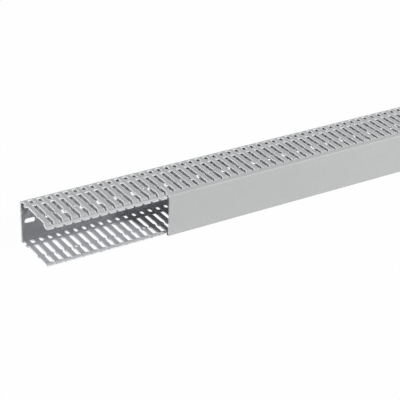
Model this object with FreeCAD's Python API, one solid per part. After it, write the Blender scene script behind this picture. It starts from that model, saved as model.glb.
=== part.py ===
import FreeCAD, Part
import math
import os

os.makedirs("parts", exist_ok=True)

# Slotted wire duct lying on one slotted wall, with its mounting base upright at the back.
# X runs along the duct, Y = 0 is the mounting face and the duct opens towards -Y, Z is up.
# The origin is the middle of the mounting face.

# Overall sizes
duct_length = 1000.0
duct_height = 60.0            # over the two slotted walls
duct_depth = 80.0             # mounting face to the front of the fitted cover
wall_thickness = 1.8
base_thickness = 1.8

# Wire slots: one row of open slots and one row of small holes in each wall
slot_pitch = 12.5
slot_width = 6.0
slot_start = 17.5             # depth of the slots' closed ends
neck_depth = 47.0             # depth of the retaining knobs' middle
neck_gap = 2.6                # between the knobs of neighbouring fingers
knob_half_length = 4.8
head_gap = 1.0                # slit between neighbouring finger heads
tip_corner = 2.4              # each finger head narrows by this on both sides, bead to tip
small_hole_depth = 7.9        # middle of the small holes
small_hole_length = 9.6
small_hole_width = 5.6

# Tie holes, one in the knob of every eighth finger
tie_hole_diameter = 4.6
tie_hole_sides = 8
tie_hole_first = 4            # number of whole fingers before the first one
tie_hole_every = 8

# Mounting holes in the base: long holes and round holes take turns
mount_first = 12.5            # left end to the first hole
mount_pitch = 25.0
long_hole_length = 15.0
mount_hole_width = 7.0

# Snap rim of the fingers and of the cover
cover_thickness = 1.5
cover_leg = 9.0               # front face to the free edge of the cover's legs
hook_reach = 0.7              # hook beyond the leg's inner face
hook_length = 2.8
hook_lead = 0.4               # free edge of the leg to the crest of the hook
snap_clearance = 0.3
shoulder_length = 4.4         # depth in which a finger turns in from the wall to the groove
head_thickness = 1.8
tip_gap = 0.4                 # finger tips to the inside of the cover

# The cover is drawn along the duct to bare the fingers at the left end
cover_offset = 175.0

half_length = duct_length / 2
half_height = duct_height / 2
leg_end = duct_depth - cover_leg
groove_floor = cover_thickness + hook_reach + snap_clearance
groove_depth = leg_end + hook_lead
bead_crest = cover_thickness + snap_clearance
bead_depth = leg_end + hook_length
head_inside = groove_floor + head_thickness
shoulder_foot = groove_depth - shoulder_length
shoulder_slope = groove_floor / shoulder_length
inner_foot = shoulder_foot - wall_thickness * math.tan(math.atan(shoulder_slope) / 2)
inner_top = inner_foot + (head_inside - wall_thickness) / shoulder_slope
tip_depth = duct_depth - cover_thickness - tip_gap


def prism_along_x(points, x_start, length):
    """Extrude a (depth, height) outline along the duct."""
    corners = [FreeCAD.Vector(x_start, -depth, height) for depth, height in points]
    wire = Part.makePolygon(corners + corners[:1])
    return Part.Face(wire).extrude(FreeCAD.Vector(length, 0, 0))


def mirrored(wall_points):
    """Upper half given as (inward, depth) from the wall's outer face, plus its mirror image."""
    upper = [(depth, half_height - inward) for inward, depth in wall_points]
    lower = [(depth, -height) for depth, height in reversed(upper)]
    return upper + lower


def channel_blank():
    """Base and two walls, whose rims turn in to the groove and the snap bead of the heads."""
    wall = [
        (0.0, 0.0),
        (0.0, shoulder_foot),
        (groove_floor, groove_depth),
        (bead_crest, bead_depth),
        (head_inside - head_thickness, tip_depth),
        (head_inside, tip_depth),
        (head_inside, inner_top),
        (wall_thickness, inner_foot),
        (wall_thickness, base_thickness),
    ]
    return prism_along_x(mirrored(wall), -half_length, duct_length)


def slot_outline(x):
    """Open slot: closed end, knobs that form a neck, then it closes to a slit between two heads."""
    wide = slot_width / 2
    slit = head_gap / 2
    side = [
        (wide, slot_start),
        (wide, neck_depth - knob_half_length),
        (neck_gap / 2, neck_depth),
        (wide, neck_depth + knob_half_length),
        (wide, shoulder_foot),
        (slit, bead_depth),
        (slit + 2 * tip_corner, 2 * tip_depth - bead_depth),
    ]
    return [(x + dx, depth) for dx, depth in side] + [(x - dx, depth) for dx, depth in reversed(side)]


def small_hole_outline(x):
    half_width = small_hole_width / 2
    half = small_hole_length / 2
    return [
        (x - half_width, small_hole_depth - half),
        (x + half_width, small_hole_depth - half),
        (x + half_width, small_hole_depth + half),
        (x - half_width, small_hole_depth + half),
    ]


def tie_hole_outline(x):
    """Small hole in the middle of a knob, flat sides parallel to the duct's edges."""
    radius = tie_hole_diameter / 2 / math.cos(math.pi / tie_hole_sides)
    angles = [math.pi * (2 * side + 1) / tie_hole_sides for side in range(tie_hole_sides)]
    return [(x + radius * math.cos(a), neck_depth + radius * math.sin(a)) for a in angles]


def punch_through_walls(points):
    """One punch that passes through both walls."""
    corners = [FreeCAD.Vector(x, -depth, -duct_height) for x, depth in points]
    wire = Part.makePolygon(corners + corners[:1])
    return Part.Face(wire).extrude(FreeCAD.Vector(0, 0, 2 * duct_height))


def wall_punches():
    """The stock is cut through the middle of a slot, so a half slot stands at each end."""
    count = int(round(duct_length / slot_pitch))
    punches = []
    for index in range(count + 1):
        x = -half_length + index * slot_pitch
        punches.append(punch_through_walls(slot_outline(x)))
        punches.append(punch_through_walls(small_hole_outline(x)))
    for index in range(tie_hole_first, count, tie_hole_every):
        x = -half_length + (index + 0.5) * slot_pitch
        punches.append(punch_through_walls(tie_hole_outline(x)))
    return punches


def mount_punches():
    """Long and round holes by turns, through the base along its middle line."""
    radius = mount_hole_width / 2
    count = int((duct_length - 2 * mount_first) / mount_pitch) + 1
    punches = []
    for index in range(count):
        x = -half_length + mount_first + index * mount_pitch
        straight = long_hole_length / 2 - radius if index % 2 == 0 else 0.0
        for end in (-straight, straight) if straight else (0.0,):
            start = FreeCAD.Vector(x + end, -2 * base_thickness, 0)
            punches.append(Part.makeCylinder(radius, 3 * base_thickness, start, FreeCAD.Vector(0, 1, 0)))
        if straight:
            corner = FreeCAD.Vector(x - straight, -2 * base_thickness, -radius)
            punches.append(Part.makeBox(2 * straight, 3 * base_thickness, mount_hole_width, corner))
    return punches


def slotted_channel():
    return channel_blank().cut(wall_punches() + mount_punches()).removeSplitter()


def snap_cover():
    """Flat front with two legs, whose inward hooks catch behind the beads of the finger heads."""
    outer = [
        (0.0, leg_end),
        (0.0, duct_depth),
    ]
    inner = [
        (cover_thickness, duct_depth - cover_thickness),
        (cover_thickness, leg_end + hook_length),
        (cover_thickness + hook_reach, leg_end + hook_lead),
        (cover_thickness, leg_end),
    ]
    outline = mirrored(outer) + mirrored(list(reversed(inner)))[::-1]
    return prism_along_x(outline, -half_length + cover_offset, duct_length)


slotted_channel().exportStep("parts/slotted_channel.step")
snap_cover().exportStep("parts/snap_cover.step")
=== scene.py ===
import math

import bpy
from bpy.props import FloatProperty, FloatVectorProperty, IntProperty, PointerProperty
from mathutils import Matrix, Vector


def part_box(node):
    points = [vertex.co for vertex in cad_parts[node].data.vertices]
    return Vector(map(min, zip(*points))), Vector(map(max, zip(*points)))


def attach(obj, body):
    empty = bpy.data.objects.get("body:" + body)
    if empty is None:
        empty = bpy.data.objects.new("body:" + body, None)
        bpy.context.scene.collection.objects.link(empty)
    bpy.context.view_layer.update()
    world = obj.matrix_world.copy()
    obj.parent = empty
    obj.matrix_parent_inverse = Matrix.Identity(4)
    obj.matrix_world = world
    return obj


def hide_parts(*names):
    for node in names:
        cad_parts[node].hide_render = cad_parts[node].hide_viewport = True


bl_info = {
    "name": "Slotted Wire Duct",
    "version": (1, 0, 0),
    "blender": (4, 5, 0),
    "location": "3D View > Sidebar > Wire Duct",
    "description": "Builds a slotted wire duct with its drawn cover, and a plain studio around it",
    "category": "Object",
}

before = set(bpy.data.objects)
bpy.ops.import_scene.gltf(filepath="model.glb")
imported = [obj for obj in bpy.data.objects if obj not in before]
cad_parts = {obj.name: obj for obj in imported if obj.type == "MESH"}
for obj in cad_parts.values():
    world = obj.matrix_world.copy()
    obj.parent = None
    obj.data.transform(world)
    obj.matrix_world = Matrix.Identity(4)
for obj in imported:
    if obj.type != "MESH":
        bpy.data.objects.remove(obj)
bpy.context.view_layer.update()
channel_low, channel_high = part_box("slotted_channel")
cover_low, cover_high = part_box("snap_cover")

MM = 0.001
SAME_PLACE = 0.01 * MM      # two points nearer than this are at one place
WELD_REACH = 0.02 * MM      # points nearer than this are made one

# Where a slot closes to the slit between two heads, from the foot of the shoulder and from the bead
NARROWS_BEFORE_FOOT = 1.2 * MM
THROAT_PAST_FOOT = 1.4 * MM
SLIT_PAST_BEAD = 1.8 * MM


# Properties that a user would change


def length(name, description, default_mm):
    return FloatProperty(
        name=name, description=description, default=default_mm * MM, min=0.0, precision=5, unit="LENGTH"
    )


def colour(name, description, default):
    return FloatVectorProperty(
        name=name, description=description, default=default, size=3, min=0.0, max=1.0, subtype="COLOR"
    )


def angle(name, description, default_degrees):
    return FloatProperty(
        name=name, description=description, default=math.radians(default_degrees), subtype="ANGLE"
    )


class DuctSizes(bpy.types.PropertyGroup):
    slot_pitch: length("Slot pitch", "Distance between neighbouring wire slots", 12.5)
    wall_thickness: length("Wall thickness", "Thickness of the base, walls and fingers", 1.8)
    slot_width: length("Slot width", "Width of a wire slot", 6.0)
    slot_start: length("Slot start", "Depth of the slots' closed ends", 17.5)
    slot_corner: length("Slot corner", "Rounding of the slots' closed ends", 1.2)
    neck_depth: length("Neck depth", "Depth of the retaining knobs' middle", 47.0)
    neck_gap: length("Neck gap", "Gap between the knobs of two fingers", 2.6)
    knob_half_length: length("Knob half length", "Half the length of a retaining knob", 4.8)
    throat_gap: length("Throat gap", "Slot where it runs in between two finger heads", 3.1)
    head_gap: length("Head gap", "Slit between two finger heads", 0.8)
    tip_corner: length("Tip corner", "Narrowing of a finger head towards its tip, on each side", 2.4)
    small_hole_depth: length("Small hole depth", "Depth of the small holes' middle", 7.9)
    small_hole_length: length("Small hole length", "Length of a small hole", 9.6)
    small_hole_width: length("Small hole width", "Width of a small hole", 5.6)
    tie_hole: length("Tie hole", "Diameter of the tie hole in every eighth finger", 4.6)
    mount_hole: length("Mounting hole", "Width of the mounting holes in the base", 7.0)
    long_hole: length("Long hole", "Length of the long mounting holes", 15.0)
    cover_thickness: length("Cover thickness", "Thickness of the cover", 1.5)
    hook_reach: length("Hook reach", "How far the cover's hooks reach in from its legs", 0.7)
    hook_length: length("Hook length", "Free edge of the leg to the end of the ramp on its hook", 2.8)
    hook_lead: length("Hook lead", "Free edge of the leg to the crest of its hook", 0.4)
    snap_clearance: length("Snap clearance", "Play between cover and fingers", 0.3)
    shoulder_length: length("Shoulder length", "Depth in which a finger turns in to its groove", 4.6)
    outer_corner: length("Outer corner", "Rounding of the duct's long outer corners", 0.9)
    cover_corner: length("Cover corner", "Rounding of the cover's long outer corners", 1.3)


class DuctColours(bpy.types.PropertyGroup):
    channel: colour("Channel", "Light grey of the duct", (0.515, 0.525, 0.535))
    # Darker than the channel's grey: painted shade of the duct's interior, not a different plastic.
    inside: colour("Inside", "Duller, slightly bluish grey of the duct's inner skin", (0.425, 0.435, 0.46))
    cover: colour("Cover", "Light grey of the cover", (0.565, 0.577, 0.573))
    # This tone is also what the finger heads and the bands along the punched outlines are mixed towards:
    # partly stress whitening, partly painted highlight.
    punched_edge: colour("Punched edge", "Paler stress-whitened plastic of the cut edges", (0.90, 0.91, 0.92))
    backdrop: colour("Backdrop", "White of the studio", (1.0, 1.0, 1.0))


class StudioSettings(bpy.types.PropertyGroup):
    azimuth: angle("Azimuth", "Camera's turn around the duct", -32.22)
    elevation: angle("Elevation", "Camera's height angle", 28.07)
    roll: angle("Roll", "Camera's tilt about its own axis", 1.58)
    distance: FloatProperty(name="Distance", description="Camera to its aim", default=1.719, unit="LENGTH")
    lens: FloatProperty(
        name="Focal length", description="Lens for a 36 mm sensor", default=119.05, unit="CAMERA"
    )
    aim: FloatVectorProperty(
        name="Aim", description="Point in the middle of the picture",
        default=(-0.2897, -0.0986, 0.0238), subtype="XYZ",
    )


class DuctCounts(bpy.types.PropertyGroup):
    tie_every: IntProperty(
        name="Tie hole every", description="Fingers from one tie hole to the next", default=8, min=1
    )
    tie_first: IntProperty(
        name="Tie hole first", description="Whole fingers before the first tie hole", default=4, min=0
    )


# Modelling helpers: each one is a step that is done by hand in the viewport


def deselect():
    if bpy.context.object and bpy.context.object.mode != "OBJECT":
        bpy.ops.object.mode_set(mode="OBJECT")
    bpy.ops.object.select_all(action="DESELECT")


def activate(piece):
    deselect()
    piece.select_set(True)
    bpy.context.view_layer.objects.active = piece


def pick(piece, kind, test):
    """Leave the piece in edit mode with the elements selected whose centre passes the test."""
    activate(piece)
    bpy.ops.object.mode_set(mode="EDIT")
    bpy.ops.mesh.select_mode(type=kind)
    bpy.ops.mesh.select_all(action="DESELECT")
    bpy.ops.object.mode_set(mode="OBJECT")
    points = piece.data.vertices
    if kind == "VERT":
        for vertex in points:
            vertex.select = test(vertex.co)
    elif kind == "EDGE":
        for edge in piece.data.edges:
            edge.select = all(test(points[index].co) for index in edge.vertices)
    else:
        for face in piece.data.polygons:
            face.select = test(face.center)
    bpy.ops.object.mode_set(mode="EDIT")


def object_mode():
    bpy.ops.object.mode_set(mode="OBJECT")


def narrow_edges(piece, test):
    """Leave selected, in edit mode, only those selected edges whose two ends pass the test."""
    object_mode()
    points = piece.data.vertices
    chosen = [edge for edge in piece.data.edges if edge.select]
    kept = [edge.index for edge in chosen if test(*[points[index].co for index in edge.vertices])]
    bpy.ops.object.mode_set(mode="EDIT")
    bpy.ops.mesh.select_all(action="DESELECT")
    object_mode()
    for index in kept:
        piece.data.edges[index].select = True
    bpy.ops.object.mode_set(mode="EDIT")


def apply_modifier(piece, kind, name, **settings):
    activate(piece)
    bpy.ops.object.modifier_add(type=kind)
    modifier = piece.modifiers[-1]
    modifier.name = name
    for key, value in settings.items():
        setattr(modifier, key, value)
    bpy.ops.object.modifier_apply(modifier=name)


def repeat(piece, count, step):
    apply_modifier(
        piece, "ARRAY", "Repeat", count=count, use_relative_offset=False, use_constant_offset=True,
        constant_offset_displace=(step, 0.0, 0.0), use_merge_vertices=True, merge_threshold=WELD_REACH,
    )


def join(pieces, name):
    activate(pieces[0])
    for piece in pieces[1:]:
        piece.select_set(True)
    bpy.ops.object.join()
    joined = bpy.context.object
    joined.name = joined.data.name = name
    return joined


def settle(piece):
    """Put the object's origin at the world's origin, with its place in its mesh."""
    activate(piece)
    bpy.ops.object.transform_apply(location=True, rotation=True, scale=True)


def weld(piece):
    pick(piece, "VERT", lambda point: True)
    bpy.ops.mesh.remove_doubles(threshold=WELD_REACH)
    bpy.ops.mesh.normals_make_consistent(inside=False)
    object_mode()


def smooth_corners(piece):
    """Rounded corners are shaded smooth, and the flat faces beside them stay flat."""
    activate(piece)
    bpy.ops.object.shade_smooth_by_angle(angle=math.radians(35))
    apply_modifier(piece, "WEIGHTED_NORMAL", "Flat faces stay flat", keep_sharp=True)


# The channel: one bent sheet with punched walls


def raised_cosine(steps):
    """Pairs of place from -1 to 1 and height from 0 to 1 of a smooth bump."""
    places = [2.0 * step / steps - 1.0 for step in range(steps + 1)]
    return [(place, (1.0 + math.cos(math.pi * place)) / 2) for place in places]


def quarter_round(steps):
    """Pairs (sine, one minus cosine) from 0 to a right angle."""
    angles = [math.pi / 2 * step / steps for step in range(steps + 1)]
    return [(math.sin(angle), 1.0 - math.cos(angle)) for angle in angles]


def eased(knots, place):
    """Value at a place on a curve that is level at each of its knots."""
    for (left, low), (right, high) in zip(knots, knots[1:]):
        if place <= right:
            share = max(0.0, place - left) / (right - left)
            return low + (high - low) * (1.0 - math.cos(math.pi * share)) / 2
    return knots[-1][1]


def finger_stations(sizes, cover_leg, duct_depth):
    """Half the outline of one finger and of the wall that carries it.

    Each station is (depth, inward, half width), from the mounting face to the finger's tip.
    """
    full = sizes.slot_pitch / 2
    wide = sizes.slot_width / 2
    narrow = full - wide
    knob = full - sizes.neck_gap / 2
    hole = full - sizes.small_hole_width / 2
    hole_corner = 0.2 * sizes.small_hole_width
    hole_near = sizes.small_hole_depth - sizes.small_hole_length / 2
    hole_far = sizes.small_hole_depth + sizes.small_hole_length / 2
    stations = [(0.0, 0.0, full), (hole_near, 0.0, full)]
    stations += [
        (hole_near + 0.3 * hole_corner, 0.0, hole + 0.7 * hole_corner),
        (hole_near + hole_corner, 0.0, hole),
        (hole_far - hole_corner, 0.0, hole),
        (hole_far - 0.3 * hole_corner, 0.0, hole + 0.7 * hole_corner),
        (hole_far, 0.0, full),
        (sizes.slot_start, 0.0, full),
    ]
    apart = 0.08 * MM      # two stations of a square corner are never at one depth
    for sine, rise in quarter_round(3)[1:]:
        width = narrow + sizes.slot_corner * (1.0 - sine)
        stations.append((sizes.slot_start + sizes.slot_corner * rise + apart, 0.0, width))
    for place, height in raised_cosine(6):
        depth = sizes.neck_depth + place * sizes.knob_half_length
        stations.append((depth, 0.0, narrow + height * (knob - narrow)))
    return stations + head_stations(sizes, cover_leg, duct_depth)


def head_stations(sizes, cover_leg, duct_depth):
    """The finger's head: it turns in, widens, takes the groove and bead, and rounds off at its tip."""
    full = sizes.slot_pitch / 2
    leg_end = duct_depth - cover_leg
    tip = channel_depth()
    groove = leg_end + sizes.hook_lead
    bead = leg_end + sizes.hook_length
    floor = sizes.cover_thickness + sizes.hook_reach + sizes.snap_clearance
    crest = sizes.cover_thickness + sizes.snap_clearance
    foot = groove - sizes.shoulder_length
    section = [(foot, 0.0), (groove, floor), (bead, crest), (tip + 0.6 * MM, floor + 0.5 * MM)]
    wide, throat, slit = sizes.slot_width / 2, sizes.throat_gap / 2, sizes.head_gap / 2
    narrows, closes = foot - NARROWS_BEFORE_FOOT, foot + THROAT_PAST_FOOT
    closing = [(narrows, wide), (closes, throat), (bead + SLIT_PAST_BEAD, slit)]
    stations = []
    for depth in (
        narrows, foot - 0.3 * MM, foot + 0.4 * MM, closes, closes + 1.0 * MM, closes + 2.0 * MM,
        groove, bead - 1.0 * MM, bead, bead + 1.2 * MM,
    ):
        stations.append((depth, eased(section, depth), full - eased(closing, depth)))
    for sine, rise in quarter_round(4):
        depth = tip - sizes.tip_corner * (1.0 - sine)
        stations.append((depth, eased(section, depth), full - slit - sizes.tip_corner * rise))
    return stations


def channel_depth():
    return channel_high.y - channel_low.y


def finger_cell(sizes, stations, name):
    """One pitch of the upper wall, grown station by station from a small plane."""
    top = channel_high.z
    middle = channel_low.x + sizes.slot_pitch / 2
    first, second = stations[0], stations[1]
    deselect()
    bpy.ops.mesh.primitive_plane_add(size=1.0, location=(middle, -(first[0] + second[0]) / 2, top))
    cell = bpy.context.object
    cell.name = name
    bpy.ops.transform.resize(value=(2 * first[2], second[0] - first[0], 1.0))
    settle(cell)
    front = -second[0]
    pick(cell, "VERT", lambda point: abs(point.y - front) < SAME_PLACE)
    for before, after in zip(stations[1:], stations[2:]):
        move = (0.0, before[0] - after[0], before[1] - after[1])
        bpy.ops.mesh.extrude_region_move(TRANSFORM_OT_translate={"value": move})
        centre = (middle, -after[0], top - after[1])
        bpy.ops.transform.resize(value=(after[2] / before[2], 1.0, 1.0), center_override=centre)
    object_mode()
    return cell


def cut_tie_hole(wall, sizes, finger):
    """Open the knob of one finger and close it again around a small round hole."""
    middle = channel_low.x + (finger + 0.5) * sizes.slot_pitch
    reach = 0.7 * sizes.knob_half_length

    def in_knob(point):
        near = abs(point.x - middle) < 0.46 * sizes.slot_pitch
        return near and abs(point.y + sizes.neck_depth) < reach

    def across_middle(first, second):
        return abs(first.y - second.y) < SAME_PLACE and abs(first.y + sizes.neck_depth) < 0.5 * reach

    pick(wall, "EDGE", in_knob)
    narrow_edges(wall, across_middle)
    bpy.ops.mesh.dissolve_edges(use_verts=False)
    object_mode()
    pick(wall, "FACE", lambda point: in_knob(point) and abs(point.y + sizes.neck_depth) < 0.2 * reach)
    bpy.ops.mesh.delete(type="ONLY_FACE")
    object_mode()
    deselect()
    bpy.ops.mesh.primitive_circle_add(
        vertices=16, radius=sizes.tie_hole / 2, fill_type="NOTHING",
        location=(middle, -sizes.neck_depth, channel_high.z),
    )
    wall = join([wall, bpy.context.object], wall.name)
    settle(wall)
    pick(wall, "EDGE", in_knob)
    bpy.ops.mesh.fill(use_beauty=True)
    object_mode()
    return wall


def base_cell(sizes, left, stretch):
    """Two pitches of the base, with one round or long hole in the middle."""
    pitch = sizes.slot_pitch
    middle = left + pitch
    low, high = channel_low.z, channel_high.z
    deselect()
    bpy.ops.mesh.primitive_grid_add(
        x_subdivisions=2, y_subdivisions=1, size=1.0, rotation=(math.pi / 2, 0.0, 0.0)
    )
    border = bpy.context.object
    bpy.ops.transform.resize(value=(2 * pitch, 1.0, high - low))
    bpy.ops.transform.translate(value=(middle, 0.0, (low + high) / 2))
    settle(border)
    pick(border, "FACE", lambda point: True)
    bpy.ops.mesh.delete(type="ONLY_FACE")
    bpy.ops.mesh.select_mode(type="EDGE")
    object_mode()
    pick(border, "EDGE", lambda point: abs(point.x - middle) < SAME_PLACE)
    bpy.ops.mesh.delete(type="EDGE")
    object_mode()
    deselect()
    bpy.ops.mesh.primitive_circle_add(
        vertices=20, radius=sizes.mount_hole / 2, fill_type="NOTHING", location=(0.0, 0.0, 0.0),
        rotation=(0.0, 0.0, math.pi / 20),
    )
    hole = bpy.context.object
    settle(hole)
    if stretch:
        for side in (-1, 1):
            pick(hole, "VERT", lambda point: point.x * side > 0)
            bpy.ops.transform.translate(value=(side * stretch, 0.0, 0.0))
            object_mode()
    activate(hole)
    hole.rotation_euler = (math.pi / 2, 0.0, 0.0)
    hole.location = (middle, 0.0, (low + high) / 2)
    settle(hole)
    cell = join([border, hole], "base_cell")
    pick(cell, "EDGE", lambda point: True)
    bpy.ops.mesh.fill(use_beauty=True)
    object_mode()
    return cell


def mirrored_copy(piece):
    """A copy of the upper wall, turned over to make the lower one."""
    activate(piece)
    bpy.ops.object.duplicate()
    other = bpy.context.object
    pick(other, "VERT", lambda point: True)
    bpy.ops.transform.resize(value=(1.0, 1.0, -1.0), center_override=(0.0, 0.0, 0.0))
    bpy.ops.mesh.flip_normals()
    object_mode()
    return other


class OBJECT_OT_duct_channel(bpy.types.Operator):
    """Build the slotted channel as one sheet: two punched walls and the base between them"""

    bl_idname = "object.duct_channel"
    bl_label = "Slotted Channel"
    bl_options = {"REGISTER", "UNDO"}

    def execute(self, context):
        sizes = context.scene.duct_sizes
        counts = context.scene.duct_counts
        pitches = round((channel_high.x - channel_low.x) / sizes.slot_pitch)
        cover_leg = cover_high.y - cover_low.y
        duct_depth = channel_high.y - cover_low.y
        stations = finger_stations(sizes, cover_leg, duct_depth)
        upper = finger_cell(sizes, stations, "finger")
        repeat(upper, counts.tie_every, sizes.slot_pitch)
        upper = cut_tie_hole(upper, sizes, counts.tie_first)
        repeat(upper, pitches // counts.tie_every, counts.tie_every * sizes.slot_pitch)
        lower = mirrored_copy(upper)
        stretch = (sizes.long_hole - sizes.mount_hole) / 2
        long_cell = base_cell(sizes, channel_low.x, stretch)
        round_cell = base_cell(sizes, channel_low.x + 2 * sizes.slot_pitch, 0.0)
        base = join([long_cell, round_cell], "base")
        repeat(base, pitches // 4, 4 * sizes.slot_pitch)
        channel = join([upper, lower, base], "channel_body")
        settle(channel)
        weld(channel)
        corner = channel_high.z
        pick(channel, "EDGE", lambda point: max(abs(point.y), abs(abs(point.z) - corner)) < SAME_PLACE)
        bpy.ops.mesh.bevel(offset=sizes.outer_corner, segments=2, affect="EDGES")
        object_mode()
        colours = context.scene.duct_colours
        # The pale tone colours the cut faces, and on the skins the partly painted highlight of heads and
        # punched outlines.
        pale = colours.punched_edge
        for material in (
            duct_plastic("duct_plastic", colours.channel, pale, sizes, outside=True),
            punched_plastic("duct_punched_edge", pale),
            # The inner skin takes the darker inside grey: painted shade.
            duct_plastic("duct_inside_painted_shade", colours.inside, pale, sizes, outside=False),
        ):
            channel.data.materials.append(material)
        apply_modifier(
            channel, "SOLIDIFY", "Sheet thickness", thickness=sizes.wall_thickness, offset=-1.0,
            solidify_mode="NON_MANIFOLD", nonmanifold_thickness_mode="CONSTRAINTS",
            material_offset_rim=1, material_offset=2,
        )
        for face in channel.data.polygons:
            if face.center.y < SAME_PLACE - channel_depth() and face.normal.y < -0.99:
                face.material_index = 0      # the tips' front faces aren't punched
        smooth_corners(channel)
        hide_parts("slotted_channel")
        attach(channel, "channel")
        return {"FINISHED"}


# The cover: a flat front with two hooked legs


class OBJECT_OT_duct_cover(bpy.types.Operator):
    """Build the cover from a block: rounded front corners, open back, hooked legs"""

    bl_idname = "object.duct_cover"
    bl_label = "Snap Cover"
    bl_options = {"REGISTER", "UNDO"}

    def execute(self, context):
        sizes = context.scene.duct_sizes
        low, high = cover_low, cover_high
        deselect()
        bpy.ops.mesh.primitive_cube_add(size=1.0, location=(low + high) / 2)
        cover = bpy.context.object
        cover.name = cover.data.name = "cover_body"
        bpy.ops.transform.resize(value=high - low)
        settle(cover)

        def at_back_or_end(point):
            end = min(point.x - low.x, high.x - point.x)
            return end < SAME_PLACE or high.y - point.y < SAME_PLACE

        pick(cover, "FACE", at_back_or_end)
        bpy.ops.mesh.delete(type="FACE")
        object_mode()
        pick(cover, "EDGE", lambda point: abs(point.y - low.y) < SAME_PLACE)
        narrow_edges(cover, lambda first, second: abs(first.z - second.z) < SAME_PLACE)
        bpy.ops.mesh.bevel(offset=sizes.cover_corner, segments=4, affect="EDGES")
        object_mode()
        colours = context.scene.duct_colours
        cover.data.materials.append(plastic("cover_plastic", colours.cover))
        cover.data.materials.append(punched_plastic("cover_sawn_edge", colours.punched_edge))
        apply_modifier(
            cover, "SOLIDIFY", "Sheet thickness", thickness=sizes.cover_thickness, offset=-1.0,
            use_even_offset=True,
        )
        inner = high.z - sizes.cover_thickness
        for depth in (high.y - sizes.hook_lead, high.y - sizes.hook_length):
            pick(cover, "FACE", lambda point: True)
            bpy.ops.mesh.bisect(plane_co=(0.0, depth, 0.0), plane_no=(0.0, 1.0, 0.0))
            object_mode()
        crest = high.y - sizes.hook_lead
        for side in (-1, 1):
            pick(
                cover, "VERT",
                lambda point: max(abs(point.y - crest), abs(point.z * side - inner)) < SAME_PLACE,
            )
            bpy.ops.transform.translate(value=(0.0, 0.0, -side * sizes.hook_reach))
            object_mode()
        end_faces(cover, low.x, high.x)
        smooth_corners(cover)
        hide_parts("snap_cover")
        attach(cover, "cover")
        return {"FINISHED"}


def end_faces(piece, left, right):
    """Give the sawn ends of a profile the second material."""
    for face in piece.data.polygons:
        if abs(face.center.x - left) < SAME_PLACE or abs(face.center.x - right) < SAME_PLACE:
            face.material_index = 1


# Finishes

PVC_IOR = 1.53


class Value:
    """A shader socket that takes part in arithmetic."""

    def __init__(self, nodes, socket):
        self.nodes = nodes
        self.socket = socket

    def math(self, operation, first, second):
        return self.nodes.add("ShaderNodeMath", {"operation": operation}, {0: first, 1: second})

    def __add__(self, other):
        return self.math("ADD", self, other)

    def __radd__(self, other):
        return self.math("ADD", other, self)

    def __sub__(self, other):
        return self.math("SUBTRACT", self, other)

    def __rsub__(self, other):
        return self.math("SUBTRACT", other, self)

    def __mul__(self, other):
        return self.math("MULTIPLY", self, other)

    def __rmul__(self, other):
        return self.math("MULTIPLY", other, self)


class Nodes:
    """The emptied node tree of one material, or of the world."""

    def __init__(self, owner):
        self.owner = owner
        owner.use_nodes = True
        self.tree = owner.node_tree
        self.tree.nodes.clear()

    def add(self, kind, settings, inputs, output=0):
        """Add a node, with its settings first and then the values or links of its sockets."""
        node = self.tree.nodes.new(kind)
        for key, value in settings.items():
            setattr(node, key, value)
        for key, value in inputs.items():
            if isinstance(value, Value):
                self.tree.links.new(value.socket, node.inputs[key])
            else:
                node.inputs[key].default_value = value
        return Value(self, node.outputs[output] if node.outputs else None)

    def surface(self, shader, kind="ShaderNodeOutputMaterial"):
        self.add(kind, {}, {"Surface": shader})
        return self.owner


def mix_colours(nodes, factor, first, second):
    return nodes.add("ShaderNodeMix", {"data_type": "RGBA"}, {0: factor, 6: first, 7: second}, output=2)


def shade(tint, factor):
    return (*[channel * factor for channel in tint], 1.0)


def distance_to_punched_edge(nodes, place, sizes):
    """How far a point of a slotted wall is from the outline of the nearest slot or small hole."""
    along = nodes.add("ShaderNodeSeparateXYZ", {}, {0: place}, output=0)
    depth = 0.0 - nodes.add("ShaderNodeSeparateXYZ", {}, {0: place}, output=1)
    across = along.math("PINGPONG", along - channel_low.x, sizes.slot_pitch / 2)
    leg_end = channel_high.y - cover_high.y
    foot = leg_end + sizes.hook_lead - sizes.shoulder_length
    bead = leg_end + sizes.hook_length
    wide, throat, slit = sizes.slot_width / 2, sizes.throat_gap / 2, sizes.head_gap / 2
    past_neck = depth.math("ABSOLUTE", depth - sizes.neck_depth, 0.0)
    knob = eased_step(nodes, past_neck, 0.0, sizes.knob_half_length, wide - sizes.neck_gap / 2, 0.0)
    narrows, closes = foot - NARROWS_BEFORE_FOOT, foot + THROAT_PAST_FOOT
    closing = eased_step(nodes, depth, narrows, closes, 0.0, wide - throat)
    closed = eased_step(nodes, depth, closes, bead + SLIT_PAST_BEAD, 0.0, throat - slit)
    slot_side = across - (wide - knob - closing - closed)
    slot = depth.math("MAXIMUM", slot_side, sizes.slot_start - depth)
    hole_end = depth.math("ABSOLUTE", depth - sizes.small_hole_depth, 0.0) - sizes.small_hole_length / 2
    hole = depth.math("MAXIMUM", across - sizes.small_hole_width / 2, hole_end)
    return depth.math("MINIMUM", slot, hole)


def eased_step(nodes, value, low, high, before, after):
    settings = {"interpolation_type": "SMOOTHSTEP"}
    return nodes.add("ShaderNodeMapRange", settings, {0: value, 1: low, 2: high, 3: before, 4: after})


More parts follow.
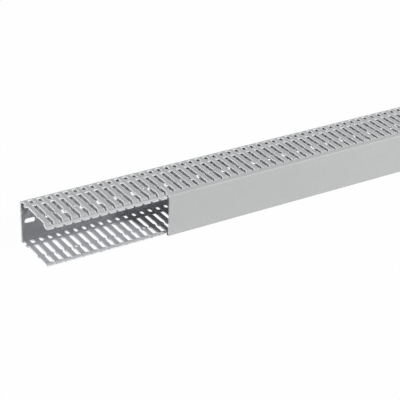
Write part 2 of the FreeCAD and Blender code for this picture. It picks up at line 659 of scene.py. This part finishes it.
class Skin:
    """Extruded rigid PVC: fine draw lines along the duct, a faint mottle and a satin surface."""

    def __init__(self, name):
        self.nodes = nodes = Nodes(bpy.data.materials.new(name))
        self.place = place = nodes.add("ShaderNodeTexCoord", {}, {}, output="Object")
        along = nodes.add("ShaderNodeMapping", {}, {"Vector": place, "Scale": (6.0, 900.0, 900.0)})
        self.lines = nodes.add("ShaderNodeTexNoise", {}, {"Vector": along, "Scale": 1.0, "Detail": 2.0})
        self.mottle = nodes.add("ShaderNodeTexNoise", {}, {"Vector": place, "Scale": 45.0, "Detail": 4.0})

    def colour(self, tint):
        mixed = self.lines * 0.35 + self.mottle * 0.65
        return mix_colours(self.nodes, mixed, shade(tint, 0.955), shade(tint, 1.045))

    def satin(self, base):
        nodes = self.nodes
        grain = nodes.add("ShaderNodeTexNoise", {}, {"Vector": self.place, "Scale": 2600.0, "Detail": 1.0})
        relief = self.lines * 0.6 + grain * 0.4
        bump = nodes.add("ShaderNodeBump", {}, {"Height": relief, "Strength": 0.10, "Distance": 0.0002})
        shader = nodes.add("ShaderNodeBsdfPrincipled", {}, {
            "Base Color": base, "Roughness": 0.40 + self.mottle * 0.10 + self.lines * 0.05,
            "Normal": bump, "IOR": PVC_IOR, "Specular IOR Level": 0.3,
        })
        return nodes.surface(shader)


def plastic(name, tint):
    skin = Skin(name)
    return skin.satin(skin.colour(tint))


def duct_plastic(name, tint, whitening_and_highlight, sizes, outside):
    """The channel's skin: paler on the finger heads and, outside, along each punched outline; the paler tone
    is partly stress whitening and partly a painted highlight.
    """
    skin = Skin(name)
    nodes, place = skin.nodes, skin.place
    leg_end = channel_high.y - cover_high.y
    depth = 0.0 - nodes.add("ShaderNodeSeparateXYZ", {}, {0: place}, output=1)
    # The finger heads are mixed towards the pale tone: partly whitening of the bent heads, partly a painted
    # highlight where they turn towards the light.
    pale = eased_step(nodes, depth, leg_end, leg_end + sizes.hook_length + 1.0 * MM, 0.0, 0.45)
    if outside:
        # A band along each punched outline: partly stress whitening, partly a painted highlight of the edges'
        # rounding.
        edge = distance_to_punched_edge(nodes, place, sizes)
        rim_whitening_and_highlight = eased_step(nodes, edge, 0.45 * MM, 1.15 * MM, 1.0, 0.0)
        patches = nodes.add("ShaderNodeTexNoise", {}, {"Vector": place, "Scale": 180.0, "Detail": 2.0})
        pale = pale.math("MAXIMUM", pale, rim_whitening_and_highlight * (0.6 + patches * 0.6))
    return skin.satin(mix_colours(nodes, pale, skin.colour(tint), shade(whitening_and_highlight, 1.0)))


def punched_plastic(name, tint):
    """The edges that a punch or saw has cut: paler, duller, with a fine noise bump."""
    nodes = Nodes(bpy.data.materials.new(name))
    place = nodes.add("ShaderNodeTexCoord", {}, {}, output="Object")
    chatter = nodes.add("ShaderNodeTexNoise", {}, {"Vector": place, "Scale": 1400.0, "Detail": 3.0})
    patches = nodes.add("ShaderNodeTexNoise", {}, {"Vector": place, "Scale": 220.0, "Detail": 2.0})
    base = mix_colours(nodes, patches, shade(tint, 0.92), shade(tint, 1.04))
    bump = nodes.add("ShaderNodeBump", {}, {"Height": chatter, "Strength": 0.25, "Distance": 0.0001})
    shader = nodes.add("ShaderNodeBsdfPrincipled", {}, {
        "Base Color": base, "Roughness": 0.55 + chatter * 0.15,
        "Normal": bump, "IOR": PVC_IOR, "Specular IOR Level": 0.4,
    })
    return nodes.surface(shader)


def seen_directly(nodes):
    """1 for rays from the camera or a mirror-like surface, 0 for the light that falls on the duct."""
    seen = 0.0
    for kind in ("Is Camera Ray", "Is Glossy Ray", "Is Transmission Ray"):
        seen = seen + nodes.add("ShaderNodeLightPath", {}, {}, output=kind)
    return seen


def backdrop_finish(name, tint):
    """White to the eye, with only a trace of the duct's shadow."""
    nodes = Nodes(bpy.data.materials.new(name))
    diffuse = nodes.add("ShaderNodeBsdfDiffuse", {}, {"Color": shade(tint, 0.6), "Roughness": 1.0})
    glow = nodes.add("ShaderNodeEmission", {}, {"Color": shade(tint, 1.0), "Strength": 1.0})
    mixed = nodes.add("ShaderNodeMixShader", {}, {0: seen_directly(nodes) * 0.98, 1: diffuse, 2: glow})
    return nodes.surface(mixed)


def studio_air(name, tint, strength):
    """White to the eye, and a weak even light on the duct."""
    nodes = Nodes(bpy.data.worlds.new(name))
    even = nodes.add("ShaderNodeBackground", {}, {"Color": shade(tint, 1.0), "Strength": strength})
    white = nodes.add("ShaderNodeBackground", {}, {"Color": shade(tint, 1.0), "Strength": 1.0})
    mixed = nodes.add("ShaderNodeMixShader", {}, {0: seen_directly(nodes), 1: even, 2: white})
    return nodes.surface(mixed, "ShaderNodeOutputWorld")


# Studio


def look_at(place, target, roll):
    """Rotation that looks from place to target, turned by roll about the view."""
    view = (target - place).to_track_quat("-Z", "Y").to_matrix()
    return (view @ Matrix.Rotation(roll, 3, "Z")).to_euler()


def area_light(name, place, target, size, power):
    deselect()
    bpy.ops.object.light_add(type="AREA", location=place)
    light = bpy.context.object
    light.name = name
    light.rotation_euler = look_at(Vector(place), Vector(target), 0.0)
    light.data.shape = "DISK"
    light.data.size = size
    light.data.energy = power
    return light


class OBJECT_OT_duct_studio(bpy.types.Operator):
    """Set up the camera, the lamps, the pale world and the white floor"""

    bl_idname = "object.duct_studio"
    bl_label = "Studio"
    bl_options = {"REGISTER", "UNDO"}

    def execute(self, context):
        studio = context.scene.duct_studio
        aim = Vector(studio.aim)
        back = Vector((
            math.sin(studio.azimuth) * math.cos(studio.elevation),
            -math.cos(studio.azimuth) * math.cos(studio.elevation),
            math.sin(studio.elevation),
        ))
        place = aim + back * studio.distance
        deselect()
        bpy.ops.object.camera_add(location=place)
        camera = bpy.context.object
        camera.name = "photo_view"
        camera.rotation_euler = look_at(place, aim, studio.roll)
        camera.data.lens = studio.lens
        camera.data.sensor_width = 36.0
        camera.data.clip_end = 50.0
        context.scene.camera = camera

        bare_end = (-0.2, -0.04, 0.0)
        area_light("key_softbox", (1.65, -3.67, 2.80), bare_end, 1.3, 222.0)
        area_light("back_fill", (-1.30, 2.80, 0.45), bare_end, 1.2, 30.0)
        area_light("left_fill", (-3.00, 0.55, 0.55), bare_end, 0.8, 43.0)

        backdrop = context.scene.duct_colours.backdrop
        context.scene.world = studio_air("studio_air", backdrop, 0.09)

        deselect()
        bpy.ops.mesh.primitive_plane_add(size=12.0, location=(0.0, 0.0, channel_low.z))
        floor = bpy.context.object
        floor.name = "studio_floor"
        settle(floor)
        floor.data.materials.append(backdrop_finish("studio_white", backdrop))
        context.scene.view_settings.view_transform = "Standard"
        return {"FINISHED"}


class VIEW3D_PT_wire_duct(bpy.types.Panel):
    """Lists the duct's pieces, sizes and colours"""

    bl_label = "Slotted Wire Duct"
    bl_idname = "VIEW3D_PT_wire_duct"
    bl_space_type = "VIEW_3D"
    bl_region_type = "UI"
    bl_category = "Wire Duct"

    def draw(self, context):
        column = self.layout.column()
        for operator in (OBJECT_OT_duct_channel, OBJECT_OT_duct_cover, OBJECT_OT_duct_studio):
            column.operator(operator.bl_idname)
        scene = context.scene
        for group in (scene.duct_sizes, scene.duct_counts, scene.duct_colours, scene.duct_studio):
            box = self.layout.box()
            for name in group.bl_rna.properties.keys():
                if name not in ("rna_type", "name"):
                    box.prop(group, name)


CLASSES = (
    DuctSizes, DuctColours, StudioSettings, DuctCounts,
    OBJECT_OT_duct_channel, OBJECT_OT_duct_cover, OBJECT_OT_duct_studio, VIEW3D_PT_wire_duct,
)


def register():
    for cls in CLASSES:
        bpy.utils.register_class(cls)
    bpy.types.Scene.duct_sizes = PointerProperty(type=DuctSizes)
    bpy.types.Scene.duct_colours = PointerProperty(type=DuctColours)
    bpy.types.Scene.duct_studio = PointerProperty(type=StudioSettings)
    bpy.types.Scene.duct_counts = PointerProperty(type=DuctCounts)


def unregister():
    for name in ("duct_counts", "duct_studio", "duct_colours", "duct_sizes"):
        delattr(bpy.types.Scene, name)
    for cls in reversed(CLASSES):
        bpy.utils.unregister_class(cls)


def main():
    register()
    bpy.ops.object.duct_channel()
    bpy.ops.object.duct_cover()
    bpy.ops.object.duct_studio()


if __name__ == "__main__":
    main()
